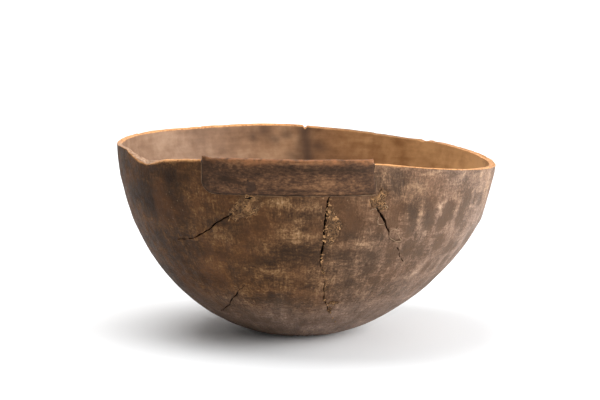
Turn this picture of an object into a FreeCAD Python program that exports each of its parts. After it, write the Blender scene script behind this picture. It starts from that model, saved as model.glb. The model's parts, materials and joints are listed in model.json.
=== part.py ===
import FreeCAD, Part
import math
import os

# A bowl carved by hand from one block of wood, with an old repair at the front of the rim.
# +Z is up, +X runs along the longest width and -Y is the repaired front. Millimetres.

# ---- the carved form ----
# Control points (radius, height) of the cubic curves that the carver's outlines follow.
OUTER_CURVE = [(30.0, 0.0), (73.5, 5.6), (160.0, 61.5), (159.5, 165.0)]
INNER_CURVE = [(0.0, 17.0), (90.0, 17.0), (145.5, 74.0), (154.3, 165.0)]
INNER_FLAT = 0.06            # where on the inner curve the flat floor ends, from 0 to 1
OVALITY = 0.956              # front-to-back width over side-to-side width: wood shrinks across its grain
FOOT_OFFSET = 6.6            # how far the foot sits to the left of the rim's middle
STRAIGHT_ABOVE = 107.0       # the bowl's middle line is upright above this height
SECTIONS = 16                # ellipses that the carved surfaces are stretched over

# ---- the rim ----
RIM_MID_HEIGHT = 150.5       # rim height at the two sides, halfway along the tilt
RIM_WARP = 10.3              # how much higher the rim is at the front and the back
RIM_TILT = 0.0578            # fall of the rim from left to right, per mm
RIM_DEPTH = 152.5            # half of the rim's front-to-back width
RIM_RADIUS = 159.0
RIM_GRID_REACH = 176.0       # the rim's surface is smoothed over a grid of heights this far each way
RIM_GRID_STEP = 11.0
# How far the rim stands above that even surface, in mm, at azimuths in degrees from +X.
RIM_LIFTS = [(-180, 2.2), (-150, 1.5), (-125, 0.0), (-80, 0.0), (-70, 2.2), (-55, 1.7), (-40, 1.6), (-20, 2.4),
             (0, 3.0), (25, 3.3), (38, 2.9), (46, 1.6), (52, 0.0), (65, -1.1), (84, -0.9), (92, 0.0),
             (110, 0.3), (122, -0.4), (137, 0.2), (149, 1.7), (160, 2.3), (180, 2.2)]
RIM_ROUNDING = 1.5           # the rim's inner and outer edges are worn round
# Bottom edge (x, z) of the stretch at the front left where the rim has broken and worn away.
WORN_EDGE = [(-152.0, 167.0), (-141.0, 159.5), (-134.0, 155.0), (-127.0, 153.8), (-111.0, 157.0),
             (-95.0, 158.8), (-70.0, 160.2)]

# ---- the board let into the rim ----
PATCH_LEFT = -81.0
PATCH_RIGHT = 53.0
PATCH_BOTTOM = 134.3
PATCH_CORNER = 10.0          # radius of the rounded lower left corner
PATCH_TOP_LEFT = 162.0
PATCH_TOP_RIGHT = 161.0
PATCH_LEAN = 2.6             # how far its right end leans in from bottom to top
PATCH_PROUD = 1.0            # how far the board stands out of the wall
PATCH_ROUNDING = 1.2         # its long top edges are less worn than the rim
NOTCH_TOP = 175.0            # the notch is open above the rim
GUM = 0.7                    # thickness of the gum that the board is bedded in

# ---- cracks and fills ----
CRACK_DEPTH = 6.0
FILL_DEPTH = 4.5
FILL_PROUD = 0.6
# Cracks as (x, z, width) along their length, seen from the front.
CENTRE_CRACK_UPPER = [(17.0, 133.6, 0.8), (15.5, 127.0, 1.5), (14.0, 119.0, 1.7), (13.2, 109.0, 1.5),
                      (13.0, 99.0, 1.7), (11.6, 89.5, 1.4), (10.3, 81.0, 1.2), (11.0, 75.5, 0.4)]
CENTRE_CRACK_LOWER = [(11.3, 73.5, 0.4), (12.2, 67.5, 0.9), (14.0, 61.5, 0.9), (12.9, 54.5, 0.9),
                      (13.5, 47.0, 0.9), (15.6, 40.5, 1.0), (18.7, 30.0, 0.8), (22.0, 20.5, 0.3)]
LEFT_CRACK = [(-53.5, 121.5, 0.7), (-58.5, 117.5, 1.0), (-65.5, 113.0, 0.9), (-71.5, 109.0, 1.0),
              (-77.0, 103.5, 0.8), (-86.5, 97.5, 0.9), (-91.5, 94.5, 0.7), (-99.5, 92.0, 0.3)]
LEFT_HOLE = [(-41.5, 133.0, 1.2), (-43.7, 132.2, 2.4), (-46.5, 130.8, 1.0)]
LOW_LEFT_CRACK = [(-48.5, 58.7, 0.3), (-56.0, 48.5, 0.9), (-60.0, 42.5, 1.0), (-63.5, 35.5, 0.9),
                  (-69.5, 27.5, 0.3)]
RIGHT_CRACK_UPPER = [(52.8, 123.0, 1.2), (56.5, 117.5, 2.2), (60.0, 112.5, 1.6), (60.8, 108.5, 0.8),
                     (62.0, 105.0, 1.8), (63.4, 102.5, 1.0)]
RIGHT_CRACK_LOWER = [(70.0, 91.0, 0.5), (71.8, 85.5, 1.0), (72.2, 81.5, 0.9), (74.5, 77.0, 0.3)]
# Outlines (x, z) of the fills and of the loose flake, as smooth closed curves.
LEFT_FILL = [(-36.0, 135.0), (-33.5, 128.5), (-38.0, 120.5), (-46.0, 116.5), (-57.5, 113.5),
             (-61.5, 119.0), (-55.0, 126.5), (-48.0, 134.5)]
CENTRE_FILL = [(16.6, 125.5), (21.5, 121.0), (27.0, 112.5), (25.0, 104.0), (20.5, 95.5), (14.5, 94.0),
               (14.6, 104.0), (15.2, 114.0)]
RIGHT_FILL = [(57.0, 139.5), (61.5, 136.0), (60.5, 129.0), (62.0, 122.5), (54.5, 121.5), (48.0, 125.5),
              (47.5, 132.5), (53.5, 133.5)]
FLAKE = [(64.2, 107.0), (69.3, 106.0), (73.2, 101.0), (72.0, 96.8), (68.0, 95.6), (64.1, 97.9),
         (63.2, 102.0)]
FLAKE_GAP = 0.6              # open crack around the flake
# Lumps (x, z, half width, half height) pressed into the lower crack.
PLUGS = [(12.6, 71.5, 1.6, 3.0), (15.0, 56.0, 1.8, 3.0), (20.5, 42.0, 6.0, 2.2), (17.8, 34.5, 2.0, 3.2)]

FAR = 220.0                  # well outside the bowl


def bezier(points, t):
    """Point (radius, height) at t on a cubic curve with four control points."""
    weights = ((1 - t) ** 3, 3 * (1 - t) ** 2 * t, 3 * (1 - t) * t ** 2, t ** 3)
    radius = sum(w * p[0] for w, p in zip(weights, points))
    height = sum(w * p[1] for w, p in zip(weights, points))
    return radius, height


def middle_x(height):
    """Where the bowl's middle line is at a height: to the left at the foot, then upright."""
    rise = min(max(height / STRAIGHT_ABOVE, 0.0), 1.0)
    return -FOOT_OFFSET * (1 + math.cos(math.pi * rise)) / 2


def carved_solid(curve, grown=0.0, start=0.0):
    """Solid stretched over level ellipses whose radii follow a curve, from its start to above the rim."""
    rings = []
    for i in range(SECTIONS + 1):
        t = start + (1 - start) * i / SECTIONS
        radius, height = bezier(curve, t)
        centre = FreeCAD.Vector(middle_x(height), 0, height)
        ellipse = Part.Ellipse(centre, radius + grown, OVALITY * radius + grown)
        rings.append(Part.Wire(ellipse.toShape()))
    return Part.makeLoft(rings, True, False)


def rim_lift(azimuth):
    """Lift of the rim at an azimuth in degrees, straight from one stated place to the next."""
    for (before, low), (after, high) in zip(RIM_LIFTS, RIM_LIFTS[1:]):
        if azimuth <= after:
            return low + (high - low) * (azimuth - before) / (after - before)
    return RIM_LIFTS[-1][1]


def rim_surface_height(x, y):
    """Height of the warped, tilted and uneven rim above a place."""
    outward = (x ** 2 + (y / OVALITY) ** 2) / RIM_RADIUS ** 2
    even = RIM_MID_HEIGHT + RIM_WARP * (y / RIM_DEPTH) ** 2 - RIM_TILT * x
    return even + outward * rim_lift(math.degrees(math.atan2(y, x)))


def air_above_rim():
    """Everything above the rim: a smooth surface through the rim's heights, thickened upwards."""
    places = [-RIM_GRID_REACH + i * RIM_GRID_STEP for i in range(int(2 * RIM_GRID_REACH / RIM_GRID_STEP) + 1)]
    rows = [[FreeCAD.Vector(x, y, rim_surface_height(x, y)) for y in places] for x in places]
    surface = Part.BSplineSurface()
    surface.interpolate(rows)
    return surface.toShape().extrude(FreeCAD.Vector(0, 0, FAR))


def with_round_edges(shape, radius, lowest, shortest):
    """Round the long edges near the top of a shape."""
    edges = [e for e in shape.Edges if e.Length > shortest and e.CenterOfMass.z > lowest]
    return shape.makeFillet(radius, edges)


def front_prism(face, near=-FAR, far=-40.0):
    """Sweep an upright face in the XZ plane through the front wall."""
    moved = face.translated(FreeCAD.Vector(0, near, 0))
    return moved.extrude(FreeCAD.Vector(0, far - near, 0))


def place(x, z):
    return FreeCAD.Vector(x, 0, z)


def smooth_outline(points):
    """Face inside a smooth closed curve through points (x, z)."""
    curve = Part.BSplineCurve()
    curve.interpolate([place(x, z) for x, z in points], PeriodicFlag=True)
    return Part.Face(Part.Wire(curve.toShape()))


def spread(points, distance):
    """Points (x, z) moved away from their middle."""
    middle = place(sum(p[0] for p in points) / len(points), sum(p[1] for p in points) / len(points))
    moved = []
    for x, z in points:
        outward = (place(x, z) - middle).normalize() * distance
        moved.append((x + outward.x, z + outward.z))
    return moved


def crack_outline(points):
    """Narrow face along a crack, as wide at each point as the crack is there."""
    left_side = []
    right_side = []
    for i, (x, z, width) in enumerate(points):
        before = points[max(i - 1, 0)]
        after = points[min(i + 1, len(points) - 1)]
        along = place(after[0] - before[0], after[1] - before[1]).normalize()
        across = FreeCAD.Vector(-along.z, 0, along.x) * (width / 2)
        left_side.append(place(x, z) + across)
        right_side.append(place(x, z) - across)
    corners = left_side + right_side[::-1]
    return Part.Face(Part.makePolygon(corners + corners[:1]))


def worn_air():
    """Air where the rim has broken away at the front left."""
    curve = Part.BSplineCurve()
    curve.interpolate([place(x, z) for x, z in WORN_EDGE])
    first = place(*WORN_EDGE[0])
    last = place(*WORN_EDGE[-1])
    up = FreeCAD.Vector(0, 0, 40)
    lid = Part.makePolygon([last, last + up, first + up, first])
    face = Part.Face(Part.Wire([curve.toShape()] + lid.Edges))
    return front_prism(face, far=0.0)


def patch_outline(clearance, top_left_height, top_right_height):
    """The board's face, or the notch around it when there is a clearance for the gum."""
    left = PATCH_LEFT - clearance
    right = PATCH_RIGHT + clearance
    bottom = PATCH_BOTTOM - clearance
    lean = PATCH_LEAN * (top_right_height - bottom) / (PATCH_TOP_RIGHT - PATCH_BOTTOM)
    radius = PATCH_CORNER + clearance
    diagonal = radius * (1 - math.sqrt(0.5))
    corner = Part.Arc(place(left, bottom + radius), place(left + diagonal, bottom + diagonal),
                      place(left + radius, bottom)).toShape()
    top_left = place(left, top_left_height)
    top_right = place(right - lean, top_right_height)
    rest = Part.makePolygon([place(left + radius, bottom), place(right, bottom), top_right, top_left,
                             place(left, bottom + radius)])
    return Part.Face(Part.Wire([corner] + rest.Edges))


def plug_outline(x, z, half_width, half_height):
    return smooth_outline([(x - half_width, z), (x, z - half_height), (x + half_width, z),
                           (x + 0.3 * half_width, z + half_height)])


def solids_only(shape):
    """One solid, or a compound of the separate solids in a shape."""
    solids = [s for s in shape.Solids if s.Volume > 1.0]
    return solids[0] if len(solids) == 1 else Part.makeCompound(solids)


# ---- the plain carved wall, and thin layers of it that cracks and fills reach into ----
outside = carved_solid(OUTER_CURVE)
hollow = carved_solid(INNER_CURVE, start=INNER_FLAT)
wall = outside.cut(hollow).cut(air_above_rim())
wall = with_round_edges(wall, RIM_ROUNDING, lowest=140.0, shortest=500.0)
crack_layer = outside.cut(carved_solid(OUTER_CURVE, grown=-CRACK_DEPTH))
fill_layer = outside.cut(carved_solid(OUTER_CURVE, grown=-FILL_DEPTH))
proud_fill_layer = carved_solid(OUTER_CURVE, grown=FILL_PROUD).cut(carved_solid(OUTER_CURVE, grown=-FILL_DEPTH))

# ---- the board in the rim and its bed of gum ----
notch = front_prism(patch_outline(GUM, NOTCH_TOP, NOTCH_TOP))
board_space = front_prism(patch_outline(0.0, PATCH_TOP_LEFT, PATCH_TOP_RIGHT))
rim_patch = carved_solid(OUTER_CURVE, grown=PATCH_PROUD).cut(hollow).common(board_space)
rim_patch = with_round_edges(rim_patch, PATCH_ROUNDING, lowest=155.0, shortest=100.0)
bedding_space = front_prism(patch_outline(GUM, PATCH_TOP_LEFT, PATCH_TOP_RIGHT))
patch_bedding = wall.common(bedding_space).cut(worn_air()).cut(board_space)

# ---- cracks ----
cracks = [CENTRE_CRACK_UPPER, CENTRE_CRACK_LOWER, LEFT_CRACK, LEFT_HOLE, LOW_LEFT_CRACK,
          RIGHT_CRACK_UPPER, RIGHT_CRACK_LOWER]
crack_space = Part.makeCompound([front_prism(crack_outline(c)).common(crack_layer) for c in cracks])

# ---- fills ----
left_recess = front_prism(smooth_outline(LEFT_FILL)).cut(notch)
centre_recess = front_prism(smooth_outline(CENTRE_FILL))
right_recess = front_prism(smooth_outline(RIGHT_FILL)).cut(notch)
plug_recesses = Part.makeCompound([front_prism(plug_outline(*p)) for p in PLUGS])
flake_recess = front_prism(smooth_outline(spread(FLAKE, FLAKE_GAP)))
flake_space = front_prism(smooth_outline(FLAKE))

recesses = [left_recess, centre_recess, right_recess, plug_recesses, flake_recess]
bowl_body = wall.cut(worn_air()).cut(notch).cut(crack_space)
for recess in recesses:
    bowl_body = bowl_body.cut(recess.common(fill_layer))

nodes = {
    "bowl_body": bowl_body,
    "rim_patch": rim_patch,
    "patch_bedding": patch_bedding,
    "left_crack_fill": left_recess.common(proud_fill_layer).cut(crack_space),
    "centre_crack_fill": centre_recess.common(proud_fill_layer).cut(crack_space),
    "centre_crack_plugs": plug_recesses.common(proud_fill_layer),
    "right_crack_fill": right_recess.common(proud_fill_layer).cut(crack_space),
    "right_crack_flake": flake_space.common(fill_layer),
}

# ---- origin at the middle of the bowl's footprint, on the surface that it stands on ----
everything = Part.makeCompound(list(nodes.values())).optimalBoundingBox(False, False)
to_origin = FreeCAD.Vector(-everything.Center.x, -everything.Center.y, -everything.ZMin)

os.makedirs("parts", exist_ok=True)
for name, shape in nodes.items():
    placed = solids_only(shape).translated(to_origin)
    placed.exportStep("parts/" + name + ".step")
    box = placed.optimalBoundingBox(False, False)
    print(name, "solids", len(placed.Solids), "valid", placed.isValid(), "volume", round(placed.Volume),
          "box", [round(v, 1) for v in (box.XMin, box.XMax, box.YMin, box.YMax, box.ZMin, box.ZMax)])
print("moved by", [round(v, 3) for v in to_origin])
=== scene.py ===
import json
import math

import bmesh
import bpy
import numpy as np
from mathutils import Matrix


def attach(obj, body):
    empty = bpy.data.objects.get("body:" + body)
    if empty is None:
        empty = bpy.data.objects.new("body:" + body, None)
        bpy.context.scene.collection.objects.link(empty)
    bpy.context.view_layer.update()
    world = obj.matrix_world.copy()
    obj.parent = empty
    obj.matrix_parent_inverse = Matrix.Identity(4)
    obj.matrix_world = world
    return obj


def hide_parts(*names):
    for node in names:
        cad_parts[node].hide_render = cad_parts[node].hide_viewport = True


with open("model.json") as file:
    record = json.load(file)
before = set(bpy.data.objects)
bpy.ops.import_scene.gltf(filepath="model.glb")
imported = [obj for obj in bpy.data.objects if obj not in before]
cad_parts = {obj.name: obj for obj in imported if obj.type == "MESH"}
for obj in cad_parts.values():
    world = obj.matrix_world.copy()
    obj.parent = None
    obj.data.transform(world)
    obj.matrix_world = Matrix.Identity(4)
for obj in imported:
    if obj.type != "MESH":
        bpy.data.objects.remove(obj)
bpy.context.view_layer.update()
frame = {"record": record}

# The bowl's form, in millimetres, about its own upright middle line. Azimuth is measured
# from +X; the repaired front is at -90 degrees.
MM = 0.001
OUTER_CURVE = ((30.0, 0.0), (73.5, 5.6), (160.0, 61.5), (159.5, 165.0))   # radius, height
INNER_CURVE = ((0.0, 17.0), (90.0, 17.0), (145.5, 74.0), (154.3, 165.0))
OVALITY = 0.956
FOOT_OFFSET = 6.6
STRAIGHT_ABOVE = 107.0
RIM_MID_HEIGHT = 150.5
RIM_WARP = 10.3
RIM_TILT = 0.0578
RIM_DEPTH = 152.5
RIM_RADIUS = 159.0
# How far the rim stands above that even surface, in mm, at azimuths in degrees.
RIM_LIFTS = ((-180, 2.2), (-150, 1.5), (-125, 0.0), (-80, 0.0), (-70, 2.2), (-55, 1.7), (-40, 1.6),
             (-20, 2.4), (0, 3.0), (25, 3.3), (38, 2.9), (46, 1.6), (52, 0.0), (65, -1.1), (84, -0.9),
             (92, 0.0), (110, 0.3), (122, -0.4), (137, 0.2), (149, 1.7), (160, 2.3), (180, 2.2))
# The broken edge at the front left: (x, height).
WORN_EDGE = ((-152.0, 167.0), (-146.5, 162.4), (-141.0, 159.3), (-137.0, 156.7), (-134.0, 155.0),
             (-127.0, 153.7), (-119.0, 155.0), (-111.0, 157.0), (-95.0, 158.8), (-70.0, 160.2))

# The middle line stands where the record's foot mount and the foot's offset put it.
FOOT = frame["record"]["mounts"][0]["pos_m"]
MIDDLE = np.array([FOOT[0] / MM + FOOT_OFFSET, FOOT[1] / MM, 0.0])

# The board let into the rim, and its bed of gum.
PATCH_LEFT = -81.0
PATCH_RIGHT = 53.0
PATCH_BOTTOM = 134.3
PATCH_CORNER = 10.0
PATCH_TOP_LEFT = 162.0
PATCH_TOP_RIGHT = 161.0
PATCH_LEAN = 2.6             # how far its right end leans in towards the top
PATCH_PROUD = 0.45
GUM = 0.7

# Cracks as (x, z, width) along their length, seen from the front.
CRACKS = {
    "centre_upper": ((17.0, 133.6, 0.8), (15.5, 127.0, 1.5), (14.0, 119.0, 1.7), (13.2, 109.0, 1.5),
                     (13.0, 99.0, 1.7), (11.6, 89.5, 1.4), (10.3, 81.0, 1.2), (11.0, 75.5, 0.4)),
    "centre_lower": ((11.3, 74.5, 0.4), (12.2, 67.5, 0.6), (14.0, 61.5, 0.6), (12.9, 54.5, 0.7),
                     (13.5, 47.0, 0.7), (15.6, 40.5, 0.8), (18.7, 30.0, 0.6), (22.0, 20.5, 0.4)),
    "left": ((-53.5, 121.5, 0.7), (-58.5, 117.5, 1.0), (-65.5, 113.0, 0.9), (-71.5, 109.0, 1.0),
             (-77.0, 103.5, 0.8), (-84.5, 98.0, 1.0), (-91.5, 95.0, 0.7), (-99.5, 93.0, 0.45),
             (-105.5, 92.2, 0.35)),
    "left_hole": ((-41.5, 133.0, 1.2), (-43.7, 132.2, 2.4), (-46.5, 130.8, 1.0)),
    "low_left": ((-47.5, 60.5, 0.4), (-52.0, 54.0, 0.6), (-56.0, 48.5, 1.0), (-60.0, 42.5, 1.2),
                 (-63.5, 35.5, 1.1), (-69.0, 28.0, 1.0), (-71.0, 26.5, 0.5)),
    "right_upper": ((52.8, 123.0, 1.2), (56.5, 117.5, 2.2), (60.0, 112.5, 1.6), (60.8, 108.5, 0.8),
                    (62.0, 105.0, 1.8), (63.4, 102.5, 1.0)),
    "right_lower": ((69.6, 93.0, 0.4), (71.8, 85.5, 0.6), (72.2, 81.5, 0.6), (75.5, 76.0, 0.4)),
}
# Outlines (x, z) of the fills, the flake and the plugs.
LEFT_FILL = ((-36.0, 135.0), (-33.5, 128.5), (-38.0, 120.5), (-46.0, 116.5), (-57.5, 113.5),
             (-61.5, 119.0), (-55.0, 126.5), (-48.0, 134.5))
CENTRE_FILL = ((16.6, 125.5), (21.5, 121.0), (27.0, 112.5), (25.0, 104.0), (20.5, 95.5), (14.5, 94.0),
               (14.6, 104.0), (15.2, 114.0))
RIGHT_FILL = ((57.0, 139.5), (61.5, 136.0), (60.5, 129.0), (62.0, 122.5), (54.5, 121.5), (48.0, 125.5),
              (47.5, 132.5), (53.5, 133.5))
FLAKE = ((64.2, 107.0), (69.3, 106.0), (73.2, 101.0), (72.0, 96.8), (68.0, 95.6), (64.1, 97.9),
         (63.2, 102.0))
PLUGS = ((12.6, 71.5, 1.6, 3.0), (15.0, 56.0, 1.8, 3.0), (20.5, 42.0, 6.0, 2.2), (17.8, 34.5, 2.0, 3.2))


# ---- Repeatable noise ----
def lattice(ix, iy, iz, seed):
    """Repeatable pseudo-random numbers from 0 to 1 at whole-number places."""
    h = (ix * 374761393 + iy * 668265263 + iz * 1442695041 + seed * 974634777) & 0xFFFFFFFF
    h = ((h ^ (h >> 13)) * 1274126177) & 0xFFFFFFFF
    return ((h ^ (h >> 16)) & 0xFFFF) / 65535.0


def noise(points, size, seed):
    """Smooth noise from -1 to 1 at points (n, 3), with features about size mm across."""
    p = points / size
    base = np.floor(p).astype(np.int64)
    f = p - base
    f = f * f * (3 - 2 * f)
    total = np.zeros(len(points))
    for dx in (0, 1):
        wx = f[:, 0] if dx else 1 - f[:, 0]
        for dy in (0, 1):
            wy = f[:, 1] if dy else 1 - f[:, 1]
            for dz in (0, 1):
                wz = f[:, 2] if dz else 1 - f[:, 2]
                corner = lattice(base[:, 0] + dx, base[:, 1] + dy, base[:, 2] + dz, seed)
                total += wx * wy * wz * corner
    return 2 * total - 1


def smoothstep(low, high, value):
    t = np.clip((value - low) / (high - low), 0, 1)
    return t * t * (3 - 2 * t)


def fall(low, high, value):
    """1 up to low, falling smoothly to 0 at high."""
    return 1 - smoothstep(low, high, value)


def bell(value, width):
    return np.exp(-(value / width) ** 2)


def layers(points, *parts):
    """Noise of several sizes added up; each part is (strength, size, seed)."""
    return sum(strength * noise(points, size, seed) for strength, size, seed in parts)


def turn_from(place, azimuth):
    """Turn from place, in degrees, to each azimuth, between -pi and pi."""
    return (azimuth - math.radians(place) + math.pi) % (2 * math.pi) - math.pi


def from_behind(azimuth):
    """Azimuths counted on from the back of the bowl, with no step at the left."""
    return np.where(azimuth > 0.5 * math.pi, azimuth - 2 * math.pi, azimuth)


MARKS_ROUND = 54             # cut marks in each row round the bowl
MARK_TALL = 19.0
MARK_SEED = 31


def cut_marks(azimuth, height):
    """Distance from the nearest of many cut marks set in uneven rows: 0 at its middle, 1 a mark away."""
    u = azimuth / (2 * math.pi) * MARKS_ROUND
    v = height / MARK_TALL
    nearest = np.full(len(azimuth), 9.0)
    for du in (-1, 0, 1):
        for dv in (-1, 0, 1):
            column = np.floor(u).astype(np.int64) + du
            row = np.floor(v).astype(np.int64) + dv
            wrapped = column % MARKS_ROUND
            across, up = (0.2 + 0.6 * lattice(wrapped, row, 0 * row, MARK_SEED + k) for k in (0, 1))
            nearest = np.minimum(nearest, np.hypot(u - column - across, v - row - up))
    return nearest


# ---- The carved surfaces ----
def bezier(curve, t):
    weights = ((1 - t) ** 3, 3 * (1 - t) ** 2 * t, 3 * (1 - t) * t ** 2, t ** 3)
    radius = sum(w * p[0] for w, p in zip(weights, curve))
    height = sum(w * p[1] for w, p in zip(weights, curve))
    return radius, height


class Outline:
    """A carved outline that gives its radius at a height or its length along the wall."""

    def __init__(self, curve):
        self.radius, self.height = bezier(curve, np.linspace(0, 1, 800))
        steps = np.hypot(np.diff(self.radius), np.diff(self.height))
        self.length = np.concatenate([[0.0], np.cumsum(steps)])

    def radius_at(self, height):
        return np.interp(height, self.height, self.radius)

    def at_length(self, length):
        return np.interp(length, self.length, self.radius), np.interp(length, self.length, self.height)

    def length_at(self, height):
        return np.interp(height, self.height, self.length)


OUTER = Outline(OUTER_CURVE)
INNER = Outline(INNER_CURVE)


def middle_x(height):
    rise = np.clip(height / STRAIGHT_ABOVE, 0, 1)
    return -FOOT_OFFSET * (1 + np.cos(math.pi * rise)) / 2


def ring_point(radius, height, azimuth):
    """Points (..., 3) on level ellipses of the bowl."""
    x = middle_x(height) + radius * np.cos(azimuth)
    y = OVALITY * radius * np.sin(azimuth)
    return np.stack(np.broadcast_arrays(x, y, height), axis=-1)


def front_y(outline, x, height, grown=0.0):
    """Y of a wall's front at a place seen from the front."""
    radius = outline.radius_at(height) + grown
    share = np.clip((x - middle_x(height)) / radius, -0.999, 0.999)
    return -(OVALITY * (radius - grown) + grown) * np.sqrt(1 - share ** 2)


def rim_height(x, y):
    """Height of the warped, tilted, uneven and partly broken rim."""
    outward = (x ** 2 + (y / OVALITY) ** 2) / RIM_RADIUS ** 2
    azimuths, lifts = zip(*RIM_LIFTS)
    sound = RIM_MID_HEIGHT + RIM_WARP * (y / RIM_DEPTH) ** 2 - RIM_TILT * x
    sound = sound + outward * np.interp(np.degrees(np.arctan2(y, x)), azimuths, lifts)
    worn_x, worn_z = zip(*WORN_EDGE)
    worn = np.interp(x, worn_x, worn_z, left=200.0, right=200.0)
    return np.where(y < 0, np.minimum(sound, worn), sound)


def patch_bottom(x):
    """Height of the board's lower edge, with its rounded left corner."""
    across = np.clip(PATCH_LEFT + PATCH_CORNER - x, 0, PATCH_CORNER)
    return PATCH_BOTTOM + PATCH_CORNER - np.sqrt(PATCH_CORNER ** 2 - across ** 2)


def patch_right(z):
    return PATCH_RIGHT - PATCH_LEAN * (z - PATCH_BOTTOM) / (PATCH_TOP_RIGHT - PATCH_BOTTOM)


def patch_top(x):
    share = (x - PATCH_LEFT) / (PATCH_RIGHT - PATCH_LEFT)
    return PATCH_TOP_LEFT + (PATCH_TOP_RIGHT - PATCH_TOP_LEFT) * share


def on_wall(x, z):
    """Points and outward normals of the outer wall at places seen from the front."""
    step = 0.2
    y = front_y(OUTER, x, z)
    slope_x = (front_y(OUTER, x + step, z) - y) / step
    slope_z = (front_y(OUTER, x, z + step) - y) / step
    normal = np.stack([slope_x, -np.ones_like(slope_x), slope_z], axis=-1)
    normal /= np.linalg.norm(normal, axis=-1, keepdims=True)
    return np.stack([x, y, z], axis=-1), normal


# ---- Mesh helpers ----
def closed_skin(loops):
    """(vertices, faces) of a closed skin over loops (rows, columns, 3), pinched to a point at each end."""
    rows, columns = loops.shape[:2]
    vertices = np.concatenate([loops.reshape(-1, 3), [loops[0].mean(0), loops[-1].mean(0)]])
    first, last = rows * columns, rows * columns + 1
    index = np.arange(rows * columns).reshape(rows, columns)
    following = np.roll(index, -1, axis=1)
    quads = np.stack([index[:-1], following[:-1], following[1:], index[1:]], axis=-1).reshape(-1, 4)
    faces = quads.tolist()
    faces += [[first, following[0, j], index[0, j]] for j in range(columns)]
    faces += [[last, index[-1, j], following[-1, j]] for j in range(columns)]
    return vertices, faces


def joined(parts):
    """One (vertices, faces) from several."""
    vertices = []
    faces = []
    start = 0
    for part_vertices, part_faces in parts:
        vertices.append(part_vertices)
        faces += [[start + i for i in face] for face in part_faces]
        start += len(part_vertices)
    return np.concatenate(vertices), faces


def new_mesh(name, vertices, faces):
    mesh = bpy.data.meshes.new(name)
    mesh.from_pydata(vertices.tolist(), [], faces)
    bm = bmesh.new()
    bm.from_mesh(mesh)
    bmesh.ops.recalc_face_normals(bm, faces=bm.faces)
    bm.to_mesh(mesh)
    bm.free()
    return mesh


def points_of(mesh):
    flat = np.empty(len(mesh.vertices) * 3)
    mesh.vertices.foreach_get("co", flat)
    return flat.reshape(-1, 3)


def normals_of(mesh):
    flat = np.empty(len(mesh.vertices) * 3, np.float32)
    mesh.vertex_normals.foreach_get("vector", flat)
    return flat.reshape(-1, 3).astype(float)


def paint(mesh, name, values):
    """Store a number or a vector at each vertex, for the materials."""
    kind = "FLOAT" if values.ndim == 1 else "FLOAT_VECTOR"
    key = "value" if values.ndim == 1 else "vector"
    attribute = mesh.attributes.new(name, kind, "POINT")
    attribute.data.foreach_set(key, values.astype(np.float32).ravel())


def finish_piece(name, mesh, material, node, sharp=50.0):
    points = (points_of(mesh) + MIDDLE) * MM
    mesh.vertices.foreach_set("co", points.ravel())
    mesh.polygons.foreach_set("use_smooth", [True] * len(mesh.polygons))
    mesh.set_sharp_from_angle(angle=math.radians(sharp))
    mesh.materials.append(material)
    mesh.update()
    piece = bpy.data.objects.new(name, mesh)
    bpy.context.scene.collection.objects.link(piece)
    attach(piece, "root")
    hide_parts(node)


# ---- Distances used to cut cracks and seat fills ----
def crack_line(points):
    """A crack's points on the wall, with the width at each."""
    x, z, width = (np.array(column) for column in zip(*points))
    return on_wall(x, z)[0], width


def distance_to_crack(points, line, width, swell=0.0):
    """Distance of each point from a crack's line, less half the crack's width there.

    swell is the share by which the width grows or shrinks at each point."""
    best = np.full(len(points), 99.0)
    for i in range(len(line) - 1):
        start = line[i]
        along = line[i + 1] - start
        t = np.clip((points - start) @ along / (along @ along), 0, 1)
        away = np.linalg.norm(points - start - t[:, None] * along, axis=1)
        half = (width[i] + (width[i + 1] - width[i]) * t) / 2 * (1 + swell)
        best = np.minimum(best, away - half)
    return best


def smooth_loop(outline, count):
    """count points (n, 2) on a smooth closed curve through an outline's points."""
    points = np.array(outline)
    n = len(points)
    s = np.arange(count) * n / count
    i = np.floor(s).astype(int)
    t = (s - i)[:, None]
    p0, p1, p2, p3 = (points[(i + k) % n] for k in (-1, 0, 1, 2))
    return 0.5 * (2 * p1 + (p2 - p0) * t + (2 * p0 - 5 * p1 + 4 * p2 - p3) * t ** 2
                  + (3 * p1 - p0 - 3 * p2 + p3) * t ** 3)


def share_of_outline(x, z, outline):
    """0 at an outline's middle, 1 on it and more outside, seen from the front."""
    loop = smooth_loop(outline, 180)
    middle = loop.mean(0)
    angles = np.arctan2(loop[:, 1] - middle[1], loop[:, 0] - middle[0])
    reach = np.hypot(loop[:, 0] - middle[0], loop[:, 1] - middle[1])
    order = np.argsort(angles)
    angle = np.arctan2(z - middle[1], x - middle[0])
    limit = np.interp(angle, angles[order], reach[order], period=2 * math.pi)
    return np.hypot(x - middle[0], z - middle[1]) / limit


def plug_outline(x, z, half_width, half_height):
    return ((x - half_width, z), (x, z - half_height), (x + half_width, z),
            (x + 0.3 * half_width, z + half_height))


FILL_OUTLINES = [LEFT_FILL, CENTRE_FILL, RIGHT_FILL] + [plug_outline(*p) for p in PLUGS]
CRACK_LINES = [crack_line(points) for points in CRACKS.values()]


# ---- The bowl ----
COLUMNS = 700
RIM_LEVEL = 158.0            # the height at which the rim's outline is taken
LEDGE = 128.0                # below this height the rows are level
RIM_CURL = 1.5               # how round the rim's edges are worn
CRACK_DEPTH = 4.5
SEAT_DEPTH = 0.7
GROOVE_DEPTH = 2.2           # beside the flake
CRACK_WIDTH = 0.80           # the dark gap over the full width of the crack with its frayed sides


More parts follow.
